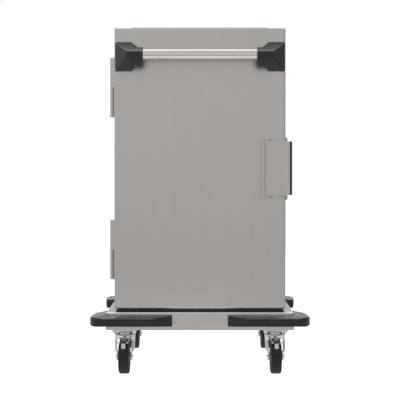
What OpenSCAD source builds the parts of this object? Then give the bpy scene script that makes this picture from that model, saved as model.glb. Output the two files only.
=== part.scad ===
// Enclosed meal tray cart: a folded stainless cabinet on a bumpered platform with four castors.
// Millimetres. +X is to the right as one faces the door, +Y to the back, +Z up.
// The origin lies on the floor, below the middle of the whole cart.

/* [Platform] */
// Width of the platform
pan_w = 715; // [690:5:760]
// Length of the platform
pan_l = 667; // [640:1:720]
// Height of the deck above the floor
deck_z = 238; // [234:1:256]
// Height of the platform's folded skirt
pan_h = 68; // [60:1:72]
// Thickness of the platform's sheet
pan_t = 2; // [1.5:0.5:3]
// Outer radius of the platform's bends
pan_r = 8; // [5:1:12]

/* [Bumpers] */
// How far the bumpers stand out from the platform
bumper_out = 59; // [50:1:70]
// Height of a bumper against the skirt
bumper_h = 44.5; // [40:0.5:48]
// Height of the skirt's edge below a bumper
bumper_lift = 12.5; // [10:0.5:16]
// How much a bumper's top and its underside close in from the skirt to its outer edge
bumper_drop = 7; // [4:1:12]
// Length of a bumper along the platform's end
bumper_end_leg = 252; // [220:2:280]
// Length of a bumper along the platform's side
bumper_side_leg = 153; // [150:1:200]

/* [Cabinet] */
// Width of the cabinet
body_w = 648; // [634:2:660]
// Height of the cabinet, without its crown
body_h = 1063; // [1010:1:1200]
// Height of the black board between platform and cabinet
plinth_h = 12; // [8:1:20]
// Thickness of the cabinet's walls
wall_t = 25; // [20:1:30]
// Thickness of the cabinet's sheet
sheet_t = 1.5; // [1:0.25:2]
// Height of the folded roof
roof_t = 28; // [24:1:36]
// Thickness of the floor panel
floor_t = 30; // [24:1:36]
// Rise of the crown above the roof
crown_h = 20; // [10:1:30]
// Inset of the crown's foot from the roof's edge
crown_inset = 17; // [10:1:30]

/* [Door] */
// Thickness of the door
door_t = 45; // [38:1:52]
// Gap between door and cabinet that the gasket fills
gasket_t = 6; // [4:1:8]
// Distance of the door's face behind the platform's end
door_inset = 1; // [0:1:6]
// Radius of the door's upright bends
door_r = 5; // [3:1:8]

/* [Hinges and latch] */
// Length of a hinge
hinge_l = 227; // [180:1:260]
// Distance of a hinge's middle from the cabinet's foot or top
hinge_inset = 221.5; // [180:0.5:260]
// Radius of a hinge knuckle
knuckle_r = 7.3; // [6.5:0.1:9]
// Distance of the hinge's axis from the cabinet's side
hinge_off = 13; // [11:0.5:16]
// Height of the latch
latch_h = 218; // [180:2:240]
// How far the latch stands out from the door
latch_out = 26; // [24:1:30]

/* [Push bar] */
// Outer diameter of the push bar
bar_d = 38; // [34:1:42]
// Wall of the push bar's tube
bar_wall = 2; // [1.5:0.5:3]
// Distance of the push bar's axis from the door
bar_out = 62; // [58:1:66]
// Distance of the push bar's axis below the cabinet's top
bar_down = 108; // [90:1:180]
// Free length of the push bar between its brackets
bar_free = 427; // [380:1:440]

/* [Castors] */
// Height from the floor to the castor's top plate
castor_h = 166; // [162:1:172]
// Diameter of a wheel
wheel_d = 125; // [120:1:126]
// Width of a wheel's tread
wheel_w = 40; // [34:1:42]
// Distance of the swivel axes from the platform's edges
castor_in = 69; // [66:1:90]
// Distance between swivel axis and wheel axle
trail = 38; // [30:1:40]
// Diameter of a wheel's axle
axle_d = 10; // [8:0.5:12]

/* [Tray rack] */
// Number of tray levels
levels = 9; // [4:1:9]
// Distance between levels
level_pitch = 105; // [90:1:110]
// Depth of the rack's posts, from the cabinet's wall to the rails
post_d = 22.5; // [16:0.5:30]
// Play of a tray between its rails, each side
tray_play = 10; // [6:1:12]
// How far a rail reaches under a tray
rail_reach = 12; // [10:1:20]

/* [Hidden] */

// Clearances
gap = 0.3;      // between pieces that move past each other
run_fit = 0.05; // radial clearance of a pin in its bore
far = 2000;     // longer than anything in the cart

// Colours as they show
steel = [0.64, 0.62, 0.61];
steel_dark = [0.52, 0.50, 0.49];
zinc = [0.68, 0.66, 0.64];
black = [0.17, 0.17, 0.165];
rubber_black = [0.13, 0.13, 0.13];

// Depth that the handle brackets reach in front of the door
bracket_out = bar_out + bar_d / 2 + 7;
front_reach = max(bracket_out - door_inset, bumper_out);
// The platform's front edge, placed so that the whole cart is centred on the origin
pan_y0 = -(front_reach + pan_l + bumper_out) / 2 + front_reach;
pan_y1 = pan_y0 + pan_l;
skirt_z = deck_z - pan_h;
bumper_z = skirt_z + bumper_lift;

body_x = body_w / 2;
body_z0 = deck_z + plinth_h;
body_z1 = body_z0 + body_h;
wall_top = body_z1 - roof_t;
door_y0 = pan_y0 + door_inset;
door_y1 = door_y0 + door_t;
carc_y0 = door_y1 + gasket_t;
carc_y1 = pan_y1 - 2;
inner_x = body_x - wall_t;
inner_y1 = carc_y1 - wall_t;
floor_top = body_z0 + floor_t;

hinge_x = -(body_x + hinge_off);
hinge_y = door_y1 + gasket_t / 2;
hinge_zs = [body_z0 + hinge_inset, body_z1 - hinge_inset];
hinge_pin_r = 4;
leaf_t = 3;
leaf_w = 38;

bar_y = door_y0 - bar_out;
bar_z = body_z1 - bar_down;
bar_r = bar_d / 2;
bar_seat = 22; // length of tube inside each bracket

latch_mid = (body_z0 + body_z1) / 2;
latch_z0 = latch_mid - latch_h / 2;
latch_z1 = latch_z0 + latch_h;
latch_x0 = body_x - 97;                     // foot of the sloping flank
barrel_r = latch_out / 2 - 0.6;             // round end of the lever, clear of the door
latch_pivot = [body_x - 68, door_y0 - latch_out / 2];
latch_pin_r = 3;
ear_t = 5;
flank_step = 4;
lever_t = 3;
lever_x1 = body_x + 14;                     // outer edge of the lever's plate
grip_t = 9;
grip_d = 20;
lever_cut = [14, 4];                        // the plate's trimmed corners
arm_in = lever_x1 - 2 * lever_t;            // inner face of the lever's arm
keeper_x = arm_in - 1;                      // crest of the keeper where the arm rides over it
keeper_tip_x = body_x + 12;                 // outer face of the keeper's two ends
keeper_y0 = carc_y0 + 6;
keeper_w = 42;
crest_y = keeper_y0 + 15;

plate_t = 4.5;
plate_size = [93, 98];
plate_bolts = [38, 40];
bolt_r = 4;
bolt_hole_r = 4.4;
nut_r = 7.5;
nut_t = 6.8;
race_z = castor_h - plate_t;                // underside of the top plate
race_r = 25.5;
race_drop = 15.2;                           // from the plate down to the bearing's gap
crown_top = race_z - race_drop - gap;
crown_t = 5;
kingpin_r = 6;
wheel_r = wheel_d / 2;
tyre_in = wheel_r - 13.5;                   // radius of the rim under the tyre
hub_l = wheel_w + 8;
fork_in = hub_l / 2 + 0.4;                  // inner face of the legs at the axle
fork_t = 3.5;
fork_wide = 38;                             // half width of the fork at its shoulders
fork_y = 30;                                // from the swivel axis to the fork's front and back
rim_r = 31;
rim_h = 8;
apron_z = wheel_d + 2.5;                    // lower edge of the fork's apron
tongue_half = 7.5;
axle_r = axle_d / 2;
castor_x = pan_w / 2 - castor_in;
castor_ys = [pan_y0 + castor_in, pan_y1 - castor_in];
brake_at = [-19, castor_h - 35];            // pivot of the brake pedal: back, up

beam_t = 3;
beam_half = plate_size[1] / 2 + 1;
beam_lip = castor_in - beam_half - pan_r - 1;
beam_z0 = castor_h;
beam_z1 = deck_z - pan_t;
beam_len = pan_w - 2 * pan_r;
stiff_h = 30;
stiff_half = 30;
stiff_x = pan_w * 0.21;
screw_r = 3;

rail_t = 1.5;
rail_h = 22;
rail_x = inner_x - post_d - rail_t;         // upright face of a rail
tray_w = 2 * (rail_x - tray_play);          // width of a tray
rail_in = tray_w / 2 - rail_reach;
rail_y0 = carc_y0 + 6;
rail_y1 = inner_y1 - 4;
rail_z = floor_top + 62;                    // ledge of the lowest level
post_t = 1.5;
post_half = 16;
post_ys = [rail_y0 + 40, (rail_y0 + rail_y1) / 2, rail_y1 - 40];

// Points of an arc
function arc(c, r, a0, a1, n = 8) = [for (i = [0:n]) c + r * [cos(a0 + (a1 - a0) * i / n), sin(a0 + (a1 - a0) * i / n)]];
// A rectangle from p to q with its corners rounded
function round_rect(p, q, r, n = 4) = concat(
    arc([q[0] - r, p[1] + r], r, -90, 0, n), arc([q[0] - r, q[1] - r], r, 0, 90, n),
    arc([p[0] + r, q[1] - r], r, 90, 180, n), arc([p[0] + r, p[1] + r], r, 180, 270, n));
// The same, with only its two upper corners rounded
function round_top(p, q, r, n = 6) = concat([p, [q[0], p[1]]],
    arc([q[0] - r, q[1] - r], r, 0, 90, n), arc([p[0] + r, q[1] - r], r, 90, 180, n));

// Extrude a profile drawn in (y, z) along x, from x0 to x1
module along_x(x0, x1) translate([x0, 0, 0]) rotate([90, 0, 90]) linear_extrude(x1 - x0) children();
// Extrude a profile drawn in (x, z) along y, from y0 to y1
module along_y(y0, y1) translate([0, y1, 0]) rotate([90, 0, 0]) linear_extrude(y1 - y0) children();
module along_z(z0, z1) translate([0, 0, z0]) linear_extrude(z1 - z0) children();
module box(p, q) translate(p) cube(q - p);
module both_sides() { children(); mirror([1, 0, 0]) children(); }

// ---- Platform ----

// A block with rounded upper edges and upright corners, from p to q
module soft_block(p, q, r) intersection() {
    along_z(p[2], q[2]) polygon(round_rect([p[0], p[1]], [q[0], q[1]], r));
    along_y(p[1], q[1]) polygon(round_top([p[0], p[2]], [q[0], q[2]], r));
    along_x(p[0], q[0]) polygon(round_top([p[1], p[2]], [q[1], q[2]], r));
}

// Places of the bumper screws: along one end skirt and along one side skirt, from the corner
end_screws = [70, bumper_end_leg - 70];
side_screws = [bumper_side_leg * 0.3, bumper_side_leg * 0.7];
screw_z = bumper_z + bumper_h / 2;

// Lines up children at each screw, with the screw's axis along -Z and its head at the origin
module at_screws() for (sx = [-1, 1], sy = [-1, 1]) {
    for (d = end_screws)
        translate([sx * (pan_w / 2 - d), sy > 0 ? pan_y1 - pan_t : pan_y0 + pan_t, screw_z])
            rotate([sy > 0 ? 90 : -90, 0, 0]) children();
    for (d = side_screws)
        translate([sx * (pan_w / 2 - pan_t), sy > 0 ? pan_y1 - d : pan_y0 + d, screw_z])
            rotate([0, sx > 0 ? -90 : 90, 0]) children();
}

module platform_pan() color(steel) difference() {
    soft_block([-pan_w / 2, pan_y0, skirt_z], [pan_w / 2, pan_y1, deck_z], pan_r);
    soft_block([-pan_w / 2 + pan_t, pan_y0 + pan_t, skirt_z - 1],
        [pan_w / 2 - pan_t, pan_y1 - pan_t, deck_z - pan_t], pan_r - pan_t);
    at_screws() translate([0, 0, -pan_t - 1]) cylinder(r = screw_r + 0.2, h = pan_t + 2, $fn = 32);
}

// Hat section, open side up: half width b, height h, lips of width f, sheet t
function hat(b, h, f, t) = [[-b - f, h], [-b - f, h - t], [-b, h - t], [-b, 0], [b, 0], [b, h - t],
    [b + f, h - t], [b + f, h], [b - t, h], [b - t, t], [-b + t, t], [-b + t, h]];

// The wheels stand outwards of their swivel axes, so the rear castors are turned about
module at_castor(i) translate([(i % 2 == 0 ? -1 : 1) * castor_x, castor_ys[floor(i / 2)], 0])
    rotate([0, 0, i < 2 ? 0 : 180]) children();
module at_plate_bolts() for (sx = [-1, 1], sy = [-1, 1])
    translate([sx * plate_bolts[0], sy * plate_bolts[1], 0]) children();

module castor_beams() color(steel_dark) difference() {
    for (y = castor_ys) translate([0, y, beam_z0])
        along_x(-beam_len / 2, beam_len / 2) polygon(hat(beam_half, beam_z1 - beam_z0, beam_lip, beam_t));
    for (i = [0:3]) at_castor(i) at_plate_bolts()
        translate([0, 0, beam_z0 - 1]) cylinder(r = bolt_hole_r, h = beam_t + 2, $fn = 32);
}

module deck_stiffeners() color(steel_dark) {
    reach = beam_half + beam_lip;
    for (x = [-1, 1] * stiff_x) translate([x, 0, beam_z1 - stiff_h])
        along_y(castor_ys[0] + reach, castor_ys[1] - reach) polygon(hat(stiff_half, stiff_h, 14, pan_t));
}

// Plan of the front left bumper, from the platform's corner
bumper_blunt = 8;
bumper_taper = 66; // length over which the end leg narrows
bumper_side = bumper_out - 12; // width where the side leg ends
bumper_round = 10; // where the rounded corner meets the side leg
function bumper_plan() = concat([[0, 0], [bumper_end_leg, 0], [bumper_end_leg, -bumper_blunt],
    [bumper_end_leg - bumper_taper, -bumper_out]],
    [for (a = [0:9:90]) [-bumper_out * sin(a), bumper_round - (bumper_out + bumper_round) * cos(a)]],
    [[-bumper_side, bumper_side_leg * 0.75], [-bumper_side * 0.4, bumper_side_leg - 22],
        [-bumper_blunt / 2, bumper_side_leg], [0, bumper_side_leg]]);

// Section across the platform and the bumpers on both of its edges, which gives the bumpers their slopes
bumper_edge = 3;
function bumper_section(a, b) = let (lo = bumper_z, hi = bumper_z + bumper_h, d = bumper_drop, e = bumper_edge,
    out = bumper_out) [[a, lo], [b, lo], [b + out - e, lo + d], [b + out, lo + d + e], [b + out, hi - d - e],
    [b + out - e, hi - d], [b, hi], [a, hi], [a - out + e, hi - d], [a - out, hi - d - e],
    [a - out, lo + d + e], [a - out + e, lo + d]];

module bumper(sx, sy) color(black) difference() {
    intersection() {
        translate([sx * pan_w / 2, sy > 0 ? pan_y1 : pan_y0, 0]) scale([-sx, -sy, 1])
            along_z(bumper_z, bumper_z + bumper_h) polygon(bumper_plan());
        along_y(-far, far) polygon(bumper_section(-pan_w / 2, pan_w / 2));
        along_x(-far, far) polygon(bumper_section(pan_y0, pan_y1));
    }
    at_screws() translate([0, 0, -20]) cylinder(r = screw_r + run_fit, h = 30, $fn = 32);
}

module bumper_screws() color(zinc) at_screws() {
    translate([0, 0, -18]) cylinder(r = screw_r, h = 18, $fn = 32);
    cylinder(r = 5.5, h = 3.5, $fn = 6);
}

// ---- Cabinet ----

module plinth_board() color(rubber_black)
    box([-body_x + 8, carc_y0 + 4, deck_z], [body_x - 8, carc_y1 - 8, body_z0]);

// Outline of a folded hollow wall
module hollow(p, q, r = 2.5) difference() {
    polygon(round_rect(p, q, r));
    polygon(round_rect(p + [sheet_t, sheet_t], q - [sheet_t, sheet_t], r - 1));
}

module floor_panel() color(steel)
    along_x(-inner_x, inner_x) hollow([carc_y0, body_z0], [inner_y1, floor_top]);

module side_panel() color(steel)
    along_z(body_z0, wall_top) hollow([inner_x, carc_y0], [body_x, carc_y1]);

module back_panel() color(steel)
    along_z(body_z0, wall_top) hollow([-inner_x, inner_y1], [inner_x, carc_y1]);

module roof_pan() color(steel) difference() {
    soft_block([-body_x, carc_y0, wall_top], [body_x, carc_y1, body_z1], 3);
    soft_block([-body_x + sheet_t, carc_y0 + sheet_t, wall_top - 1],
        [body_x - sheet_t, carc_y1 - sheet_t, body_z1 - sheet_t], 1.5);
}

module ceiling_liner() color(steel) difference() {
    box([-inner_x, carc_y0 + 2, wall_top - 14], [inner_x, inner_y1, wall_top]);
    box([-inner_x + sheet_t, carc_y0 + 2 + sheet_t, wall_top - 14 + sheet_t],
        [inner_x - sheet_t, inner_y1 - sheet_t, wall_top + 1]);
}

// Hipped block over the roof, its four flanks sloping up to a flat top
crown_slope = 46;
function hip(a, b, z, rise, run) = [[a, z], [b, z], [b - run, z + rise], [a + run, z + rise]];
module hip_block(in, z, rise) intersection() {
    along_y(carc_y0 + in, carc_y1 - in) polygon(hip(-body_x + in, body_x - in, z, rise, crown_slope));
    along_x(-body_x + in, body_x - in) polygon(hip(carc_y0 + in, carc_y1 - in, z, rise, crown_slope));
}
module roof_crown() color(steel) difference() {
    hip_block(crown_inset, body_z1, crown_h);
    hip_block(crown_inset + 3, body_z1 - 0.01, crown_h - sheet_t);
}

module rack_posts() color(steel) both_sides() for (y = post_ys)
    translate([inner_x, y, floor_top]) linear_extrude(wall_top - 14 - floor_top)
        polygon([for (p = hat(post_half - 8, inner_x - rail_x - rail_t, 8, post_t))
            [-(inner_x - rail_x - rail_t) + p[1], p[0]]]);

module rack_rails() color(steel) both_sides() for (i = [0:levels - 1])
    translate([0, 0, rail_z + i * level_pitch]) along_y(rail_y0, rail_y1)
        polygon([[rail_in, -rail_t], [rail_x + rail_t, -rail_t], [rail_x + rail_t, rail_h],
            [rail_x, rail_h], [rail_x, 0], [rail_in, 0]]);

// ---- Hinges ----

// One half of a lift-off hinge: side -1 sits on the door, 1 on the cabinet
module hinge_leaf(side) difference() {
    union() {
        for (z = hinge_zs) {
            z0 = side < 0 ? z + 0.5 : z - hinge_l / 2;
            translate([hinge_x, hinge_y, z0]) cylinder(r = knuckle_r, h = hinge_l / 2 - 0.5, $fn = 48);
            box([hinge_x, side < 0 ? hinge_y - knuckle_r : hinge_y + knuckle_r - 4, z0],
                [-body_x - leaf_t / 2, side < 0 ? hinge_y - knuckle_r + 4 : hinge_y + knuckle_r,
                    z0 + hinge_l / 2 - 0.5]);
            box([-body_x - leaf_t, side < 0 ? hinge_y - leaf_w : hinge_y + 3 + gap, z - hinge_l / 2],
                [-body_x, side < 0 ? hinge_y - 3 - gap : hinge_y + leaf_w, z + hinge_l / 2]);
        }
    }
    for (z = hinge_zs) translate([hinge_x, hinge_y, z - hinge_l / 2 + 8])
        cylinder(r = hinge_pin_r + run_fit, h = hinge_l / 2 + 44, $fn = 48);
}
module body_hinge_leaves() color(zinc) hinge_leaf(1);
module door_hinge_leaves() color(zinc) hinge_leaf(-1);
module hinge_pins() color(zinc) for (z = hinge_zs)
    translate([hinge_x, hinge_y, z - hinge_l / 2 + 8]) cylinder(r = hinge_pin_r, h = hinge_l / 2 + 40, $fn = 48);

// ---- Door ----

module door_shape(p, q, r) intersection() {
    along_z(p[2], q[2]) polygon(concat(arc([p[0] + r, p[1] + r], r, 180, 270, 6),
        arc([q[0] - r, p[1] + r], r, 270, 360, 6), [[q[0], q[1]], [p[0], q[1]]]));
    along_x(p[0], q[0]) polygon(concat(arc([p[1] + r, p[2] + r], r, 180, 270, 6),
        [[q[1], p[2]], [q[1], q[2]]], arc([p[1] + r, q[2] - r], r, 90, 180, 6)));
}
door_lip = 18;
module door_skin() color(steel) difference() {
    door_shape([-body_x, door_y0, body_z0], [body_x, door_y1, body_z1], door_r);
    door_shape([-body_x + sheet_t, door_y0 + sheet_t, body_z0 + sheet_t],
        [body_x - sheet_t, door_y1 - sheet_t, body_z1 - sheet_t], door_r - sheet_t);
    box([-body_x + door_lip, door_y0 + door_t / 2, body_z0 + door_lip],
        [body_x - door_lip, door_y1 + 1, body_z1 - door_lip]);
}
module door_liner() color(steel) {
    in = door_lip + gap;
    box([-body_x + in, door_y1 - sheet_t, body_z0 + in], [body_x - in, door_y1, body_z1 - in]);
    box([-body_x + 6, door_y1 - 2 * sheet_t, body_z0 + 6], [body_x - 6, door_y1 - sheet_t, body_z1 - 6]);
}
// Channels inside the door, behind the push bar and behind the latch
module door_stiffeners() color(steel_dark) for (z = [bar_z, latch_mid]) {
    depth = door_t - 3 * sheet_t;
    along_x(-body_x + 8, body_x - 8) polygon([for (p = hat(30, depth, 14, sheet_t))
        [door_y0 + sheet_t + p[1], z + p[0]]]);
}
gasket_w = 17;
gasket_in = 6;
module door_gasket() color(rubber_black) along_y(door_y1, carc_y0 - gap) difference() {
    polygon(round_rect([-body_x + gasket_in, body_z0 + gasket_in],
        [body_x - gasket_in, body_z1 - gasket_in], 6));
    polygon(round_rect([-body_x + gasket_in + gasket_w, body_z0 + gasket_in + gasket_w],
        [body_x - gasket_in - gasket_w, body_z1 - gasket_in - gasket_w], 3));
}
// Rubber strip under the door, flaring out to its foot
module door_sweep() color(rubber_black) along_y(door_y0 + 3, door_y1 - 3)
    polygon([[-body_x + 6, deck_z + 0.8], [body_x - 6, deck_z + 0.8], [body_x - 10, body_z0], [-body_x + 10, body_z0]]);

// ---- Push bar ----

module push_bar() color(zinc) translate([-bar_free / 2 - bar_seat, bar_y, bar_z]) rotate([0, 90, 0]) difference() {
    cylinder(r = bar_r, h = bar_free + 2 * bar_seat, $fn = 96);
    translate([0, 0, -1]) cylinder(r = bar_r - bar_wall, h = bar_free + 2 * bar_seat + 2, $fn = 96);
}

// Half sizes of the moulded bracket, from the bar's axis
bracket_foot_up = 54;
bracket_foot_down = 56;
bracket_x0 = body_x - 3;                       // outer edge of the foot
bracket_x1 = bar_free / 2;                     // mouth of the socket
foot_in = bracket_x0 - 61;                     // where the foot's outline starts to taper
nose_x = bracket_x0 - 49;                      // outer edge of the nose
edge_r = 3;                                    // rounding of the moulded edges
module knob(p) translate([p[0], door_y0 - p[1], bar_z + p[2]]) sphere(r = edge_r, $fn = 16);
module foot_pad() along_y(door_y0 - 5, door_y0) polygon([
    [-bracket_x0, bar_z - bracket_foot_down], [-foot_in, bar_z - bracket_foot_down],
    [-foot_in + 22, bar_z - 34], [-foot_in + 22, bar_z + 36], [-foot_in, bar_z + bracket_foot_up],
    [-bracket_x0 + 5, bar_z + bracket_foot_up], [-bracket_x0, bar_z + bracket_foot_up - 4]]);
module handle_bracket() color(black) {
    deep = bracket_out - edge_r;
    difference() {
        union() {
            hull() {
                foot_pad();
                for (p = [[0, deep - 3, 14], [0, deep, 8], [-1, deep, -6], [-5, deep - 9, -22],
                    [-12, deep - 30, -37], [-24, 24, -bracket_foot_down + 8]])
                    knob([-nose_x + edge_r + p[0], p[1], p[2]]);
                for (p = [[deep - 3, 14], [deep, 8], [deep, -14], [deep - 22, -34]])
                    knob([-foot_in + 18, p[0], p[1]]);
            }
            hull() for (x = [-foot_in + 8, -bracket_x1 - edge_r],
                p = [[deep - 3, 14], [deep, 8], [deep, -18], [deep - 10, -34], [deep - 30, -40],
                    [38, -38], [32, -30], [32, 20], [44, 26]]) knob([x, p[0], p[1]]);
        }
        translate([-bracket_x1 - bar_seat - 0.2, bar_y, bar_z]) rotate([0, 90, 0])
            cylinder(r = bar_r + run_fit, h = bar_seat + 20, $fn = 96);
    }
}

// ---- Latch ----

// Fixed part: a sloping flank and two ears that hold the pin
module latch_base() color(steel) difference() {
    union() {
        along_z(latch_z0, latch_z1) polygon(concat([[latch_x0, door_y0], [latch_x0 + 1, door_y0 - flank_step]],
            arc(latch_pivot, barrel_r + gap, 205, 180, 4), [[latch_pivot[0] - barrel_r - gap, door_y0]]));
        for (z = [latch_z0, latch_z1 - ear_t]) along_z(z, z + ear_t) {
            translate(latch_pivot) circle(r = barrel_r, $fn = 48);
            polygon([[latch_pivot[0] - barrel_r - 2, door_y0], [latch_pivot[0] - barrel_r - 2, latch_pivot[1] - 6],
                [latch_pivot[0], latch_pivot[1] - 6], [latch_pivot[0] + 6, door_y0]]);
        }
    }
    along_z(latch_z0 - 1, latch_z1 + 1) translate(latch_pivot) circle(r = latch_pin_r + run_fit, $fn = 48);
    along_z(latch_z0 + ear_t, latch_z1 - ear_t) translate(latch_pivot) circle(r = barrel_r + gap, $fn = 48);
}
module latch_pin() color(zinc) along_z(latch_z0 + 1, latch_z1 - 1)
    translate(latch_pivot) circle(r = latch_pin_r, $fn = 48);

lever_z0 = latch_z0 + ear_t + gap;
lever_z1 = latch_z1 - ear_t - gap;
lever_face = latch_pivot[1] - barrel_r;
module latch_lever() color(steel) difference() {
    union() {
        along_z(lever_z0, lever_z1) difference() {
            translate(latch_pivot) circle(r = barrel_r, $fn = 64);
            translate(latch_pivot) circle(r = latch_pin_r + run_fit, $fn = 48);
        }
        along_y(lever_face, lever_face + lever_t) polygon([[latch_pivot[0], lever_z0],
            [lever_x1 - lever_cut[0], lever_z0], [lever_x1, lever_z0 + lever_cut[1]],
            [lever_x1, lever_z1 - lever_cut[1]], [lever_x1 - lever_cut[0], lever_z1], [latch_pivot[0], lever_z1]]);
        // End plates and the turned-in edge beside the grip
        for (z = [lever_z0, lever_z1 - lever_t]) box([latch_pivot[0], lever_face, z],
            [lever_x1 - lever_cut[0], latch_pivot[1] + 4, z + lever_t]);
        box([lever_x1 - lever_t, lever_face, lever_z0 + lever_cut[1]],
            [lever_x1, latch_pivot[1] + 4, lever_z1 - lever_cut[1]]);
    }
    along_z(lever_z0 - 1, lever_z1 + 1) translate(latch_pivot) circle(r = latch_pin_r + run_fit, $fn = 48);
}
// Arm that runs back along the door's edge and rides over the keeper's crest
arm_z = latch_mid;
arm_half = 45;
module latch_arm() color(zinc) along_z(arm_z - arm_half, arm_z + arm_half) {
    out = arm_in + lever_t;
    start = lever_face + lever_t + 1;
    tail = crest_y + 14;
    polygon(concat([[arm_in, start], [out, start], [out, tail]],
        [[out - 1, tail + 1], [arm_in + 1, tail + 1], [arm_in, tail], [arm_in, crest_y + 6]],
        [[keeper_x + gap, crest_y + 2.5], [keeper_x + gap, crest_y - 2.5], [arm_in, crest_y - 6]]));
}
// Finger grip along the lever's free edge
module latch_grip() color(black) along_z(lever_z0 + 3, lever_z1 - 3) polygon([
    [lever_x1, lever_face + 1], [lever_x1 + grip_t - 3, lever_face + 1], [lever_x1 + grip_t, lever_face + 5],
    [lever_x1 + grip_t, lever_face + grip_d - 3], [lever_x1 + grip_t - 4, lever_face + grip_d + 1],
    [lever_x1, lever_face + grip_d + 1]]);

// Keeper on the cabinet's side: a strip with a rounded crest in its middle and a raised block at each end
module latch_keeper() color(steel_dark) {
    over = 10;
    foot = 3;
    along_z(latch_z0 - over, latch_z1 + over)
        polygon(round_rect([body_x, keeper_y0], [body_x + foot, keeper_y0 + keeper_w], 1));
    along_z(arm_z - arm_half - 8, arm_z + arm_half + 8) polygon([[body_x + foot / 2, crest_y - 14],
        [body_x + foot, crest_y - 14], [keeper_x - 1, crest_y - 6], [keeper_x, crest_y - 3],
        [keeper_x, crest_y + 3], [keeper_x - 1, crest_y + 6], [body_x + foot, crest_y + 14],
        [body_x + foot / 2, crest_y + 14]]);
    for (z = [latch_z0 - over, latch_z1 + over - 24]) along_z(z, z + 24)
        polygon(round_rect([body_x + foot / 2, keeper_y0 + 2], [keeper_tip_x, keeper_y0 + 26], 2));
}

// ---- Castors ----

// Fixed part of a castor: top plate, bearing cup and kingpin
module castor_plate() difference() {
    union() {
        along_z(race_z, castor_h) polygon(round_rect(-plate_size / 2, plate_size / 2, 10));
        rotate_extrude($fn = 72) polygon([[0, race_z + 0.5], [race_r + 4, race_z + 0.5], [race_r + 4, race_z - 4],
            [race_r, race_z - 7], [race_r, race_z - race_drop], [kingpin_r, race_z - race_drop],
            [kingpin_r, crown_top - crown_t - gap], [10, crown_top - crown_t - gap],
            [10, crown_top - crown_t - 5], [8, crown_top - crown_t - 6.5], [0, crown_top - crown_t - 6.5]]);
    }
    at_plate_bolts() translate([0, 0, race_z - 1]) cylinder(r = bolt_hole_r, h = plate_t + 2, $fn = 32);
}
module castor_plates() color(zinc) for (i = [0:3]) at_castor(i) castor_plate();

module castor_bolts() color(zinc) for (i = [0:3]) at_castor(i) at_plate_bolts() {
    translate([0, 0, castor_h + beam_t]) cylinder(r = nut_r, h = 5.3, $fn = 6);
    translate([0, 0, race_z - nut_t - 3]) cylinder(r = bolt_r, h = castor_h + beam_t + 1 - race_z + nut_t + 3, $fn = 32);
    translate([0, 0, race_z - nut_t]) cylinder(r = nut_r, h = nut_t, $fn = 6);
}

// Front outline of the fork's right half, drawn in (x, z), pulled in by d
shoulder_z = crown_top - 15;
waist_z = wheel_r + 36;
function fork_front(d) = concat([[0, crown_top - d]],
    [for (a = [90:-15:0]) [fork_wide - 13 + (13 - d) * cos(a), shoulder_z + 2 + (13 - d) * sin(a)]],
    [for (s = [0:0.2:1]) [fork_in + fork_t + (fork_wide - fork_in - fork_t) * (0.5 + 0.5 * cos(180 * s)) - d,
        waist_z - 22 * s]],
    [[fork_in + fork_t - d, 0], [0, 0]]);
// Side outline of a leg, drawn in (y, z), pulled in by d
leg_end_r = 13;
function fork_side(d) = concat([[fork_y - d, crown_top + 1], [fork_y - d, shoulder_z]],
    arc([-trail, wheel_r], leg_end_r - d, 12, -192, 14), [[-fork_y + d, shoulder_z - 6], [-fork_y + d, crown_top + 1]]);

module castor_fork(brake) color(zinc) difference() {
    union() {
        both_sides() difference() {
            intersection() {
                along_y(-far / 10, far / 10) polygon(fork_front(0));
                along_x(fork_in, fork_wide + 1) polygon(fork_side(0));
            }
            intersection() {
                along_y(-far / 10, far / 10) polygon(fork_front(fork_t));
                along_x(fork_in - 1, fork_wide + 1) polygon(fork_side(fork_t));
            }
        }
        along_z(crown_top - crown_t, crown_top) intersection() {
            circle(r = rim_r, $fn = 72);
            square([2 * fork_in + 4, 80], center = true);
        }
        // Raised rim round the race, and the apron between the legs
        along_z(crown_top - crown_t, crown_top + rim_h) difference() {
            circle(r = rim_r, $fn = 72);
            circle(r = race_r + 0.8, $fn = 72);
        }
        box([-fork_in - 1, -fork_y, apron_z], [fork_in + 1, -fork_y + fork_t, crown_top - 1]);
    }
    if (brake) box([-tongue_half - 1.5, -fork_y - 1, apron_z - 1], [tongue_half + 1.5, -fork_y + fork_t + 1, apron_z + 11]);
    translate([0, 0, crown_top - crown_t - 1]) cylinder(r = kingpin_r + run_fit, h = crown_t + 2, $fn = 48);
    translate([-far / 10, -trail, wheel_r]) rotate([0, 90, 0]) cylinder(r = axle_r + run_fit, h = far / 5, $fn = 48);
    if (brake) translate([-far / 10, brake_at[0], brake_at[1]]) rotate([0, 90, 0])
        cylinder(r = 3 + run_fit, h = far / 5, $fn = 32);
}

module castor_axle() color(zinc) translate([0, -trail, wheel_r]) rotate([0, 90, 0]) {
    half = fork_in + fork_t;
    translate([0, 0, -half - 6]) cylinder(r = axle_r, h = 2 * half + 12, $fn = 48);
    for (z = [-half - 5, half]) translate([0, 0, z]) cylinder(r = axle_r + 4.8, h = 5, $fn = 6);
}

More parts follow.
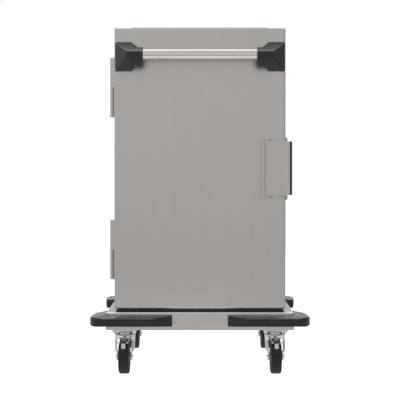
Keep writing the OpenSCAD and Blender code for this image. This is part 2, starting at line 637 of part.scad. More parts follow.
module wheel_core() color([0.45, 0.45, 0.45]) translate([0, -trail, wheel_r]) rotate([0, 90, 0])
    rotate_extrude($fn = 96) {
        rim_w = wheel_w / 2 - 3;
        half = [[axle_r + run_fit, hub_l / 2], [13, hub_l / 2], [15, hub_l / 2 - 5], [18, 7],
            [tyre_in - 9, 5], [tyre_in - 4, rim_w - 2], [tyre_in, rim_w]];
        polygon(concat(half, [for (i = [len(half) - 1:-1:0]) [half[i][0], -half[i][1]]]));
    }
module wheel_tyre() color(rubber_black) translate([0, -trail, wheel_r]) rotate([0, 90, 0])
    rotate_extrude($fn = 96) {
        w = wheel_w / 2;
        half = concat([[tyre_in, w - 3], [tyre_in + 3, w - 0.5]], arc([wheel_r - 7, w - 7], 7, 90, 15, 6),
            [[wheel_r, w - 12]]);
        polygon(concat(half, [for (i = [len(half) - 1:-1:0]) [half[i][0], -half[i][1]]]));
    }

// Brake: a steel lever on a cross pin, with a tongue in front of the tread, and a moulded pedal over it
lever_lo = brake_at[1] - 1.5;
lever_hi = brake_at[1] + 3;
pedal_y = -trail - 66;                      // front face of the pedal
pedal_back = -trail - 32;
pedal_top = brake_at[1] + 8;
pedal_h = 12;
pedal_half = 18;                            // half width of the pedal's top
pedal_foot = 10.5;                          // half width of its lower edge
tongue_y = -trail - 59;
tongue_h = 27;
module brake_lever() color(zinc) {
    along_x(-tongue_half, tongue_half) {
        translate(brake_at) circle(r = 6, $fn = 32);
        polygon([[brake_at[0], lever_lo], [tongue_y + 3, lever_lo], [tongue_y + 3, lever_lo - tongue_h],
            [tongue_y, lever_lo - tongue_h], [tongue_y, lever_lo - 0.5], [pedal_y - 0.6, lever_lo - 0.5],
            [pedal_y - 0.6, pedal_top - 2.6], [tongue_y, pedal_top - 2.6], [tongue_y + 4, lever_hi],
            [brake_at[0], lever_hi]]);
    }
    along_x(-fork_wide + 1, fork_wide - 1) translate(brake_at) circle(r = 3, $fn = 32);
}
module brake_pedal() color(black) difference() {
    along_y(pedal_y, pedal_back) polygon([[-pedal_half, pedal_top - 3], [-pedal_half + 2, pedal_top],
        [pedal_half - 2, pedal_top], [pedal_half, pedal_top - 3], [pedal_foot, pedal_top - pedal_h],
        [-pedal_foot, pedal_top - pedal_h]]);
    box([-tongue_half - 0.1, pedal_y - 1, pedal_top - pedal_h - 1],
        [tongue_half + 0.1, pedal_back + 1, pedal_top - 2.5]);
}

// ---- The pieces by name ----

platform_pan();
castor_beams();
deck_stiffeners();
bumper(-1, -1);  // bumper_front_left
bumper(1, -1);  // bumper_front_right
bumper(-1, 1);  // bumper_rear_left
bumper(1, 1);  // bumper_rear_right
bumper_screws();
plinth_board();
floor_panel();
mirror([1, 0, 0]) side_panel();  // side_panel_left
side_panel();  // side_panel_right
back_panel();
roof_pan();
ceiling_liner();
roof_crown();
rack_posts();
rack_rails();
body_hinge_leaves();
hinge_pins();
latch_keeper();
castor_plates();
castor_bolts();
door_skin();
door_liner();
door_stiffeners();
door_gasket();
door_sweep();
door_hinge_leaves();
push_bar();
handle_bracket();  // handle_bracket_left
mirror([1, 0, 0]) handle_bracket();  // handle_bracket_right
latch_base();
latch_pin();
latch_lever();
latch_arm();
latch_grip();
at_castor(0) castor_fork(true);  // castor_fork_fl
at_castor(1) castor_fork(true);  // castor_fork_fr
at_castor(2) castor_fork(false);  // castor_fork_rl
at_castor(3) castor_fork(false);  // castor_fork_rr
at_castor(0) castor_axle();  // castor_axle_fl
at_castor(1) castor_axle();  // castor_axle_fr
at_castor(2) castor_axle();  // castor_axle_rl
at_castor(3) castor_axle();  // castor_axle_rr
at_castor(0) wheel_core();  // wheel_core_fl
at_castor(1) wheel_core();  // wheel_core_fr
at_castor(2) wheel_core();  // wheel_core_rl
at_castor(3) wheel_core();  // wheel_core_rr
at_castor(0) wheel_tyre();  // wheel_tyre_fl
at_castor(1) wheel_tyre();  // wheel_tyre_fr
at_castor(2) wheel_tyre();  // wheel_tyre_rl
at_castor(3) wheel_tyre();  // wheel_tyre_rr
at_castor(0) brake_lever();  // brake_lever_fl
at_castor(1) brake_lever();  // brake_lever_fr
at_castor(0) brake_pedal();  // brake_pedal_fl
at_castor(1) brake_pedal();  // brake_pedal_fr
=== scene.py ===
"""Dresses the enclosed meal tray cart: finishes, forks, pedals, door seal, fasteners, studio and camera."""

import math

import bmesh
import bpy
from bpy.props import FloatProperty, FloatVectorProperty, IntProperty, PointerProperty
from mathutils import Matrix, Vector


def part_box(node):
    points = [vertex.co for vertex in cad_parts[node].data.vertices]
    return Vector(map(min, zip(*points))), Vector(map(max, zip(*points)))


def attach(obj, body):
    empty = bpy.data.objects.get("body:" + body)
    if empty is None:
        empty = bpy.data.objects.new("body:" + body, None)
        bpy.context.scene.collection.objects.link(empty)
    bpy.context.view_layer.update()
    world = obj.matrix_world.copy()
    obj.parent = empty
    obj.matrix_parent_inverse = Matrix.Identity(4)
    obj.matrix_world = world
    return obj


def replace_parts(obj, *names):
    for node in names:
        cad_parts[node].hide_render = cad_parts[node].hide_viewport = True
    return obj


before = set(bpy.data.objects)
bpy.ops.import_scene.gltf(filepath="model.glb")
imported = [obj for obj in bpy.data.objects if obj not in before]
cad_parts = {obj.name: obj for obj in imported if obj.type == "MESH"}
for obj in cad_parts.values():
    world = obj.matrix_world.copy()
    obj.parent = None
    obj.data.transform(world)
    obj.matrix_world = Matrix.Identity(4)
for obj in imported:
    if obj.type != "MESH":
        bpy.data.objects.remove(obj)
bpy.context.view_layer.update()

bl_info = {
    "name": "Enclosed meal tray cart",
    "version": (1, 0, 0),
    "blender": (4, 5, 0),
    "location": "View3D > Sidebar > Tray cart",
    "description": "Materials, small parts and studio for an enclosed meal tray cart",
    "category": "Object",
}

VALUE, VECTOR = "NodeSocketFloat", "NodeSocketVector"
CORNERS = ("fl", "fr", "rl", "rr")
BRAKED = ("fl", "fr")

# The axle from the castor's swivel axis and from the floor, and the brake's pin likewise
TRAIL, AXLE_Z = 0.038, 0.0625
BRAKE_Y, BRAKE_Z = -0.019, 0.131

# Clearance between neighbours, and the small overlap of joined sheets
GAP, SKIN = 0.0002, 0.0001
RAIL_LEVELS, RAIL_PITCH = 9, 0.105

# Upward share of the faces along a bracket's ridge, and how much paler they are painted there as a highlight
RIDGE_HIGHLIGHT_FACES = {"Start": 0.15, "Full": 0.22, "Fade": 0.57, "End": 0.64}
RIDGE_HIGHLIGHT_LIFT = 14.0
# Colour of dust, and of the painted light on the bumpers' tops
DUST_AND_LIT_TOP = (0.34, 0.33, 0.31)

# Faces with at least this many sides are flat ends, and aren't shaded smooth
END_SIDES = 12


# ---- What a user would change ----


def colour(name, description, value):
    return FloatVectorProperty(
        name=name, description=description, subtype="COLOR", size=3, min=0.0, max=1.0, default=value
    )


def length(name, description, value):
    return FloatProperty(
        name=name, description=description, subtype="DISTANCE", unit="LENGTH", min=0.0, default=value
    )


def share(name, description, value):
    return FloatProperty(
        name=name, description=description, subtype="FACTOR", min=0.0, max=1.0, default=value
    )


def strength(name, description, value):
    return FloatProperty(name=name, description=description, min=0.0, default=value)


class CartFinish(bpy.types.PropertyGroup):
    steel: colour("Sheet steel", "Tint of the stainless sheet", (0.66, 0.64, 0.625))
    steel_dark: colour("Inner steel", "Tint of beams and channels", (0.50, 0.49, 0.48))
    tube: colour("Push bar", "Tint of the polished tube", (0.88, 0.855, 0.842))
    zinc: colour("Zinc plating", "Tint of castors and fasteners", (0.90, 0.885, 0.87))
    moulding: colour("Black mouldings", "Colour of brackets, grip and pedals", (0.021, 0.021, 0.021))
    bumper: colour("Bumpers", "Colour of the corner bumpers", (0.010, 0.010, 0.0097))
    # The seal colour also makes the plinth board near black, which stands in for the shade in the gap under the
    # body
    seal: colour("Seals", "Colour of gasket, sweep and plinth", (0.014, 0.013, 0.013))
    tyre: colour("Tyres", "Colour of the wheel treads", (0.0095, 0.009, 0.0085))
    wheel: colour("Wheel centres", "Colour of the moulded wheel centres", (0.19, 0.19, 0.195))
    steel_rough: share("Sheet roughness", "Roughness of the brushed sheet", 0.30)
    grain_depth: length("Grain depth", "Depth of the brushed grain", 0.00004)
    edge_radius: length("Edge radius", "Reach of the rubbed edges", 0.0012)


class CartDetails(bpy.types.PropertyGroup):
    screw_radius: length("Screw head radius", "Countersunk screws in hinges and keeper", 0.0042)
    rivet_radius: length("Rivet head radius", "Blind rivets in rack, liner and back", 0.0032)
    rivet_pitch: length("Rivet pitch", "Distance between the rivets of liner and back", 0.14)
    rib_count: IntProperty(
        name="Wheel ribs", description="Ribs in a wheel's centre", min=3, max=24, default=9
    )
    bellows: IntProperty(name="Gasket folds", description="Folds of the door's seal", min=1, max=4, default=2)


class CartStudio(bpy.types.PropertyGroup):
    floor_size: length("Floor", "Width of the pale floor", 14.0)
    camera_back: length("Camera distance", "Camera from the platform's front edge", 3.785)
    camera_up: length("Camera height", "Height of the level camera", 0.711)
    focal: strength("Focal length", "Focal length of the camera in millimetres", 90.0)
    shift: FloatProperty(name="Shift", description="Upward shift of the picture", default=-0.0325)
    white: strength("Background", "Brightness seen behind the cart", 1.0)
    front: strength("Front light", "Brightness in front", 0.61)
    back: strength("Back light", "Brightness behind the cart", 0.66)
    left: strength("Left light", "Brightness at the left side", 0.58)
    right: strength("Right light", "Brightness at the right side", 0.26)
    bank: strength("Light bank", "Brightness high up behind the cart", 1.7)
    sky: strength("Overhead light", "Brightness from above", 0.50)
    lamp: strength("Lamp", "Power in watts of the lamp above the left front", 8.0)
    under_glow: strength("Glow below", "Light from the floor near the cart", 0.58)
    floor_glow: strength("Floor glow", "Light that the floor gives farther out", 0.06)


# ---- Node shorthand ----


def add(tree, kind, inputs=None, **settings):
    """Adds a node, sets its properties, then fills or links its inputs."""
    node = tree.nodes.new(kind)
    for key, value in settings.items():
        setattr(node, key, value)
    fill(tree, node, inputs or {})
    return node


def fill(tree, node, inputs):
    for key, value in inputs.items():
        if isinstance(value, bpy.types.NodeSocket):
            tree.links.new(value, node.inputs[key])
        else:
            node.inputs[key].default_value = value


def calc(tree, operation, a, b=0.0, clamp=False):
    return add(tree, "ShaderNodeMath", {0: a, 1: b}, operation=operation, use_clamp=clamp).outputs[0]


def times(tree, a, b):
    return calc(tree, "MULTIPLY", a, b)


def span(tree, value, low, high, to_low=0.0, to_high=1.0):
    """Maps a value's span to another one, clamped."""
    return add(
        tree,
        "ShaderNodeMapRange",
        {"Value": value, "From Min": low, "From Max": high, "To Min": to_low, "To Max": to_high},
    ).outputs["Result"]


def noise(tree, vector, scale, detail, **more):
    inputs = {"Vector": vector, "Scale": scale, "Detail": detail, **more}
    return add(tree, "ShaderNodeTexNoise", inputs).outputs["Fac"]


def upward(tree):
    """How far a face looks up, from -1 to 1."""
    normal = add(tree, "ShaderNodeNewGeometry").outputs["Normal"]
    return add(tree, "ShaderNodeSeparateXYZ", {0: normal}).outputs["Z"]


def blend_value(tree, fac, a, b):
    return add(tree, "ShaderNodeMix", {0: fac, 2: a, 3: b}, data_type="FLOAT").outputs[0]


def blend_colour(tree, fac, a, b):
    sides = [side if isinstance(side, bpy.types.NodeSocket) else (*side, 1.0) for side in (a, b)]
    return add(tree, "ShaderNodeMix", {0: fac, 6: sides[0], 7: sides[1]}, data_type="RGBA").outputs[2]


def new_group(name, inputs, outputs):
    """An empty shader group with the given sockets, and its two end nodes."""
    tree = bpy.data.node_groups.new(name, "ShaderNodeTree")
    for label, kind, default in inputs:
        socket = tree.interface.new_socket(name=label, in_out="INPUT", socket_type=kind)
        if default is not None:
            socket.default_value = default
    for label, kind in outputs:
        tree.interface.new_socket(name=label, in_out="OUTPUT", socket_type=kind)
    return tree, tree.nodes.new("NodeGroupInput").outputs, tree.nodes.new("NodeGroupOutput").inputs


def placed(tree, name, inputs):
    """Puts a shader group into a material and returns its outputs."""
    node = tree.nodes.new("ShaderNodeGroup")
    node.node_tree = bpy.data.node_groups[name]
    fill(tree, node, inputs)
    return node.outputs


# ---- Finishes ----


def make_effects():
    """The effects that the materials share."""
    # Long fine scratches along one direction
    tree, given, out = new_group(
        "Brushed grain",
        [("Vector", VECTOR, None), ("Stretch", VECTOR, (1.0, 1.0, 1.0)), ("Contrast", VALUE, 1.0)],
        [("Grain", VALUE), ("Streaks", VALUE)],
    )
    factors = {0: given["Vector"], 1: given["Stretch"]}
    along = add(tree, "ShaderNodeVectorMath", factors, operation="MULTIPLY").outputs[0]
    fine = noise(tree, along, 700.0, 4.0, Roughness=0.6)
    broad = noise(tree, along, 90.0, 3.0, Roughness=0.5)
    centred = times(tree, calc(tree, "SUBTRACT", fine, 0.5), given["Contrast"])
    tree.links.new(calc(tree, "ADD", centred, 0.5), out["Grain"])
    tree.links.new(span(tree, broad, 0.35, 0.65), out["Streaks"])

    # Soft cloudy marks left by wiping and hands
    tree, given, out = new_group(
        "Wiped marks", [("Vector", VECTOR, None), ("Size", VALUE, 6.0)], [("Mask", VALUE)]
    )
    cloud = noise(tree, given["Vector"], given["Size"], 5.0, Roughness=0.62, Distortion=0.4)
    tree.links.new(span(tree, cloud, 0.38, 0.72), out["Mask"])

    # Edges rubbed bright, found where a rounded normal leaves the flat one; on the latch sheet the brightening is
    # a painted highlight as well as wear
    tree, given, out = new_group(
        "Rubbed edges",
        [("Vector", VECTOR, None), ("Radius", VALUE, 0.0012), ("Amount", VALUE, 1.0)],
        [("Mask", VALUE), ("Normal", VECTOR)],
    )
    rounded = add(tree, "ShaderNodeBevel", {"Radius": given["Radius"]}, samples=4).outputs[0]
    flat = add(tree, "ShaderNodeNewGeometry").outputs["Normal"]
    agree = add(tree, "ShaderNodeVectorMath", {0: rounded, 1: flat}, operation="DOT_PRODUCT").outputs["Value"]
    patch = noise(tree, given["Vector"], 60.0, 4.0)
    worn = times(tree, span(tree, agree, 0.995, 0.88), span(tree, patch, 0.35, 0.6))
    tree.links.new(times(tree, worn, given["Amount"]), out["Mask"])
    tree.links.new(rounded, out["Normal"])

    # Pebbled skin of moulded plastic and rubber
    tree, given, out = new_group(
        "Moulded skin",
        [("Vector", VECTOR, None), ("Fineness", VALUE, 900.0)],
        [("Pebble", VALUE), ("Flow", VALUE)],
    )
    cells = add(
        tree,
        "ShaderNodeTexVoronoi",
        {"Vector": given["Vector"], "Scale": given["Fineness"], "Smoothness": 1.0},
        feature="SMOOTH_F1",
    )
    tree.links.new(cells.outputs["Distance"], out["Pebble"])
    tree.links.new(span(tree, noise(tree, given["Vector"], 14.0, 4.0), 0.35, 0.65), out["Flow"])

    # Bends and ridges, whose faces lie between upright and level: the mask for the painted highlight on the pan's
    # bends and on the brackets' ridges
    tree, given, out = new_group(
        "Bend faces",
        [("Start", VALUE, 0.1), ("Full", VALUE, 0.35), ("Fade", VALUE, 0.94), ("End", VALUE, 0.985)],
        [("Mask", VALUE)],
    )
    slope = upward(tree)
    rising = span(tree, slope, given["Start"], given["Full"])
    falling = span(tree, slope, given["End"], given["Fade"])
    tree.links.new(times(tree, rising, falling), out["Mask"])

    # Dust that settles on what faces up, also used as painted light that makes the bumpers' tops lighter
    tree, given, out = new_group(
        "Settled dust", [("Vector", VECTOR, None), ("Amount", VALUE, 0.3)], [("Mask", VALUE)]
    )
    drift = noise(tree, given["Vector"], 22.0, 6.0)
    resting = times(tree, span(tree, upward(tree), 0.3, 1.0), span(tree, drift, 0.15, 0.60))
    tree.links.new(times(tree, resting, given["Amount"]), out["Mask"])


def shaded(tint, factor):
    """The same colour, darker or lighter."""
    return tuple(min(1.0, c * factor) for c in tint)


def blank(name):
    """A material with an empty Principled shader, read in object coordinates."""
    mat = bpy.data.materials.new(name)
    mat.use_nodes = True
    tree = mat.node_tree
    for node in list(tree.nodes):
        tree.nodes.remove(node)
    bsdf = tree.nodes.new("ShaderNodeBsdfPrincipled")
    out = tree.nodes.new("ShaderNodeOutputMaterial")
    tree.links.new(bsdf.outputs[0], out.inputs["Surface"])
    coords = tree.nodes.new("ShaderNodeTexCoord").outputs["Object"]
    return tree, bsdf, coords


def surfaced(tree, bsdf, base, rough, relief):
    """Links the colour, roughness and relief of a finish to its shader."""
    tree.links.new(base, bsdf.inputs["Base Color"])
    tree.links.new(rough, bsdf.inputs["Roughness"])
    tree.links.new(add(tree, "ShaderNodeBump", relief).outputs[0], bsdf.inputs["Normal"])


def brushed(
    name, tint, rough, stretch, contrast=1.0, edge_wear_and_highlight=0.35, marks=0.08, depth=None, edge_tint_and_highlight=1.10, bend_highlight=0.0
):
    """Brushed or plated metal, with grain across the axes that stretch keeps large."""
    finish = bpy.context.scene.cart_finish
    tree, bsdf, coords = blank(name)
    grain = placed(tree, "Brushed grain", {"Vector": coords, "Stretch": stretch, "Contrast": contrast})
    wiped = placed(tree, "Wiped marks", {"Vector": coords, "Size": 5.0})
    edge = placed(tree, "Rubbed edges", {"Vector": coords, "Radius": finish.edge_radius, "Amount": edge_wear_and_highlight})
    dark = shaded(tint, 1.0 - marks)
    base = blend_colour(tree, grain["Streaks"], dark, tint)
    base = blend_colour(tree, times(tree, wiped["Mask"], 0.35), base, dark)
    # Brighter edges: wear, and on the latch sheet a painted highlight
    base = blend_colour(tree, edge["Mask"], base, shaded(tint, edge_tint_and_highlight))
    # Painted highlight: faces between upright and level, such as the pan's bends, are painted lighter
    if bend_highlight:
        bend = placed(tree, "Bend faces", {})["Mask"]
        base = blend_colour(tree, times(tree, bend, bend_highlight), base, shaded(tint, 1.5))
    bsdf.inputs["Metallic"].default_value = 1.0
    uneven = times(tree, calc(tree, "SUBTRACT", grain["Grain"], 0.5), 0.12)
    uneven = calc(tree, "ADD", uneven, times(tree, wiped["Mask"], 0.05))
    relief = {
        "Strength": 0.5,
        "Distance": finish.grain_depth if depth is None else depth,
        "Height": grain["Grain"],
        "Normal": edge["Normal"],
    }
    surfaced(tree, bsdf, base, calc(tree, "ADD", uneven, rough, clamp=True), relief)


def moulded(name, tint, rough, fineness=900.0, depth=0.00006, edge_wear_and_highlight=0.5, dust_and_lit_top=0.1, lift=2.6, ridge_highlight=None):
    """Moulded plastic or rubber with a pebbled skin, pale edges, a little dust and a painted highlight along
    ridges when asked; on the bumpers the lighter tops are painted light.
    """
    tree, bsdf, coords = blank(name)
    reach = bpy.context.scene.cart_finish.edge_radius * 1.6
    skin = placed(tree, "Moulded skin", {"Vector": coords, "Fineness": fineness})
    edge = placed(tree, "Rubbed edges", {"Vector": coords, "Radius": reach, "Amount": edge_wear_and_highlight})
    settled_and_lit = placed(tree, "Settled dust", {"Vector": coords, "Amount": dust_and_lit_top})
    base = blend_colour(tree, skin["Flow"], shaded(tint, 0.86), shaded(tint, 1.12))
    base = blend_colour(tree, edge["Mask"], base, shaded(tint, lift))
    # Lighter on what faces up: dust, and on the bumpers painted light on their tops
    base = blend_colour(tree, settled_and_lit["Mask"], base, DUST_AND_LIT_TOP)
    # Painted highlight on the faces along the ridge
    if ridge_highlight:
        base = blend_colour(tree, placed(tree, "Bend faces", ridge_highlight)["Mask"], base, shaded(tint, RIDGE_HIGHLIGHT_LIFT))
    uneven = times(tree, calc(tree, "SUBTRACT", skin["Flow"], 0.5), 0.10)
    uneven = calc(tree, "SUBTRACT", uneven, times(tree, edge["Mask"], 0.12))
    relief = {"Strength": 0.6, "Distance": depth, "Height": skin["Pebble"], "Normal": edge["Normal"]}
    surfaced(tree, bsdf, base, calc(tree, "ADD", uneven, rough, clamp=True), relief)


def material(name):
    return bpy.data.materials[name]


def dress(mat, *nodes):
    """Gives CAD nodes a finished material."""
    for name in nodes:
        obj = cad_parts[name]
        for slot in obj.material_slots:
            slot.material = material(mat)
        if not obj.material_slots:
            obj.data.materials.append(material(mat))


# ---- Mesh shorthand ----


def piece(name, bm, mat, body, smooth=True):
    """Makes a mesh piece in place and lets it ride on a body."""
    bmesh.ops.remove_doubles(bm, verts=bm.verts, dist=1e-6)
    bmesh.ops.recalc_face_normals(bm, faces=bm.faces)
    mesh = bpy.data.meshes.new(name)
    bm.to_mesh(mesh)
    bm.free()
    mesh.materials.append(material(mat))
    for face in mesh.polygons:
        face.use_smooth = smooth
    obj = bpy.data.objects.new(name, mesh)
    bpy.context.scene.collection.objects.link(obj)
    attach(obj, body)
    return obj


def bridged(bm, rings):
    """Joins each ring of points to the next one."""
    for a, b in zip(rings, rings[1:]):
        for j in range(len(a)):
            k = (j + 1) % len(a)
            bm.faces.new((a[j], b[j], b[k], a[k]))


def turned(bm, outline, at, axis, count=48):
    """Turns a closed outline of (radius, along) points about an axis through a point."""
    facing = Vector(axis).to_track_quat("Z", "Y").to_matrix()
    rings = []
    for x, y in circle(1.0, count):
        spoke = Vector((x, y, 0))
        points = [Vector(at) + facing @ (spoke * r + Vector((0, 0, z))) for r, z in outline]
        rings.append([bm.verts.new(point) for point in points])
    bridged(bm, rings + rings[:1])


def swept(bm, outline, path):
    """Sweeps a closed (out, up) outline round a closed path of (corner, out, up) with mitred corners."""
    rings = []
    for corner, out, up in path:
        points = [Vector(corner) + Vector(out) * a + Vector(up) * b for a, b in outline]
        rings.append([bm.verts.new(point) for point in points])
    bridged(bm, rings + rings[:1])


def lofted(bm, rings):
    """Joins closed rings of equal count into one skin and closes both ends."""
    loops = [[bm.verts.new(p) for p in ring] for ring in rings]
    bridged(bm, loops)
    bm.faces.new(loops[0])
    bm.faces.new(list(reversed(loops[-1])))


def circle(radius, count, centre=(0.0, 0.0)):
    """Points of a circle."""
    angles = [2 * math.pi * i / count for i in range(count)]
    return [(centre[0] + radius * math.cos(a), centre[1] + radius * math.sin(a)) for a in angles]


def quad(at, x, y, z, slant=0.0):
    """A level rectangle between two x and two y values, whose second x end may be shifted along y."""
    return [at(x[0], y[0], z), at(x[1], y[0] + slant, z), at(x[1], y[1] + slant, z), at(x[0], y[1], z)]


def block(bm, at, x, y, z):
    """A box between two x, two y and two z values."""
    lofted(bm, [quad(at, x, y, level) for level in z])


def softened(obj, width):
    """Rounds the edges of a finished piece."""
    bevel = obj.modifiers.new("Bevel", "BEVEL")
    bevel.width = width
    bevel.segments = 2
    bevel.limit_method = "ANGLE"
    return obj


# ---- Geometry Nodes ----


def new_tree(name, inputs):
    """A geometry tree with a points input, named sizes and a material."""
    tree = bpy.data.node_groups.new(name, "GeometryNodeTree")
    tree.interface.new_socket(name="Places", in_out="INPUT", socket_type="NodeSocketGeometry")
    for label, default in inputs:
        socket = tree.interface.new_socket(name=label, in_out="INPUT", socket_type=VALUE)
        socket.default_value = default
    tree.interface.new_socket(name="Finish", in_out="INPUT", socket_type="NodeSocketMaterial")
    tree.interface.new_socket(name="Pieces", in_out="OUTPUT", socket_type="NodeSocketGeometry")
    return tree, tree.nodes.new("NodeGroupInput").outputs, tree.nodes.new("NodeGroupOutput").inputs


def moved(tree, shape, at=(0, 0, 0), turn=(0, 0, 0), scale=(1, 1, 1)):
    inputs = {"Geometry": shape, "Translation": at, "Rotation": turn, "Scale": scale}
    return add(tree, "GeometryNodeTransform", inputs).outputs[0]


def joined(tree, *shapes):
    node = tree.nodes.new("GeometryNodeJoinGeometry")
    for shape in reversed(shapes):
        tree.links.new(shape, node.inputs[0])
    return node.outputs[0]


def carved(tree, solid, tool):
    node = add(tree, "GeometryNodeMeshBoolean", operation="DIFFERENCE")
    tree.links.new(solid, node.inputs[0])
    tree.links.new(tool, node.inputs[1])
    return node.outputs[0]


def triple(tree, x=0.0, y=0.0, z=0.0):
    return add(tree, "ShaderNodeCombineXYZ", {"X": x, "Y": y, "Z": z}).outputs[0]


def rod(tree, radius, depth, sides):
    inputs = {"Vertices": sides, "Radius": radius, "Depth": depth}
    return add(tree, "GeometryNodeMeshCylinder", inputs).outputs[0]


def cuboid(tree, x, y, z):
    return add(tree, "GeometryNodeMeshCube", {"Size": triple(tree, x, y, z)}).outputs[0]


def spread(tree, given, out, shape):
    """Puts the shape on every place, turned to face along its 'facing', and makes it real."""
    facing = add(tree, "GeometryNodeInputNamedAttribute", {"Name": "facing"}, data_type="FLOAT_VECTOR")
    turn = add(tree, "FunctionNodeAlignRotationToVector", {"Vector": facing.outputs["Attribute"]}, axis="Z")
    points = add(tree, "GeometryNodeMeshToPoints", {"Mesh": given["Places"]})
    copies = add(
        tree,
        "GeometryNodeInstanceOnPoints",
        {"Points": points.outputs[0], "Instance": shape, "Rotation": turn.outputs[0]},
    )
    real = add(tree, "GeometryNodeRealizeInstances", {"Geometry": copies.outputs[0]})
    last = add(tree, "GeometryNodeSetMaterial", {"Geometry": real.outputs[0], "Material": given["Finish"]})
    tree.links.new(last.outputs[0], out["Pieces"])


def make_trees():
    """The trees that put small parts in their places."""
    # Countersunk screw with a cross recess, its rim flush with the sheet
    tree, given, out = new_tree("Cross screw", [("Radius", 0.004), ("Rise", 0.0006)])
    radius, rise = given["Radius"], given["Rise"]
    cone = {"Vertices": 24, "Radius Top": times(tree, radius, 0.82), "Radius Bottom": radius, "Depth": rise}
    head = add(tree, "GeometryNodeMeshCone", cone).outputs[0]
    rim = rod(tree, radius, times(tree, rise, 2.0), 24)
    rim = moved(tree, rim, at=triple(tree, z=times(tree, rise, -1.0)))
    wide, slim, deep = times(tree, radius, 1.15), times(tree, radius, 0.24), times(tree, rise, 1.6)
    slots = joined(tree, cuboid(tree, wide, slim, deep), cuboid(tree, slim, wide, deep))
    cross = moved(tree, slots, at=triple(tree, z=times(tree, rise, 0.6)), turn=(0, 0, 0.6))
    spread(tree, given, out, joined(tree, carved(tree, head, cross), rim))

    # Domed rivet with the dimple of its drawn stem
    tree, given, out = new_tree("Blind rivet", [("Radius", 0.0032), ("Dome", 0.4)])
    radius = given["Radius"]
    ball = add(tree, "GeometryNodeMeshUVSphere", {"Segments": 20, "Rings": 10, "Radius": radius}).outputs[0]
    dome = moved(tree, ball, scale=triple(tree, 1.0, 1.0, given["Dome"]))
    stem = rod(tree, times(tree, radius, 0.3), radius, 12)
    dimple = moved(tree, stem, at=triple(tree, z=times(tree, radius, 0.72)))
    spread(tree, given, out, carved(tree, dome, dimple))

    # Radial rib of a moulded wheel centre, reaching from hub to rim
    tree, given, out = new_tree("Wheel rib", [("Reach", 0.02), ("Thickness", 0.003), ("Width", 0.03)])
    spread(tree, given, out, cuboid(tree, given["Width"], given["Thickness"], given["Reach"]))

    # Raised grip line of a pedal
    tree, given, out = new_tree("Grip bar", [("Length", 0.02), ("Radius", 0.001)])
    spread(tree, given, out, rod(tree, given["Radius"], given["Length"], 12))


def planted(name, tree_name, places, sizes, mat, body, smooth=True):
    """Runs a tree on places given as (point, facing) and keeps the result as a plain mesh."""
    mesh = bpy.data.meshes.new(name)
    mesh.from_pydata([tuple(point) for point, _ in places], [], [])
    facing = mesh.attributes.new("facing", "FLOAT_VECTOR", "POINT")
    for i, (_, direction) in enumerate(places):
        facing.data[i].vector = Vector(direction).normalized()
    obj = bpy.data.objects.new(name, mesh)
    bpy.context.scene.collection.objects.link(obj)
    tree = bpy.data.node_groups[tree_name]
    modifier = obj.modifiers.new(tree_name, "NODES")
    modifier.node_group = tree
    sockets = {item.name: item.identifier for item in tree.interface.items_tree if item.in_out == "INPUT"}
    for label, value in sizes.items():
        modifier[sockets[label]] = value
    modifier[sockets["Finish"]] = material(mat)
    graph = bpy.context.evaluated_depsgraph_get()
    result = bpy.data.meshes.new_from_object(obj.evaluated_get(graph))
    obj.modifiers.clear()
    obj.data = result
    bpy.data.meshes.remove(mesh)
    if not result.polygons:
        raise RuntimeError(name + " came out empty")
    if not result.materials:
        result.materials.append(material(mat))
    for face in result.polygons:
        face.use_smooth = smooth and len(face.vertices) < END_SIDES
    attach(obj, body)
    return obj


def mid(low, high, axis):
    return (low[axis] + high[axis]) / 2


def swivel_of(corner):
    """Place of a castor's swivel axis, and 1 where its wheel stands to the front, else -1."""
    low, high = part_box("wheel_tyre_" + corner)
    turn = 1 if corner in BRAKED else -1
    return mid(low, high, 0), mid(low, high, 1) + turn * TRAIL, turn


def seat_of(corner):
    """Gives the function that places points of a castor, measured from its swivel axis."""
    cx, cy, turn = swivel_of(corner)
    return lambda x, y, z: Vector((cx + turn * x, cy + turn * y, z))


def evenly(low, high, pitch):
    """Even places between two ends, about a pitch apart, ends included."""
    count = max(1, round((high - low) / pitch))
    return [low + (high - low) * i / count for i in range(count + 1)]


# ---- Operators ----


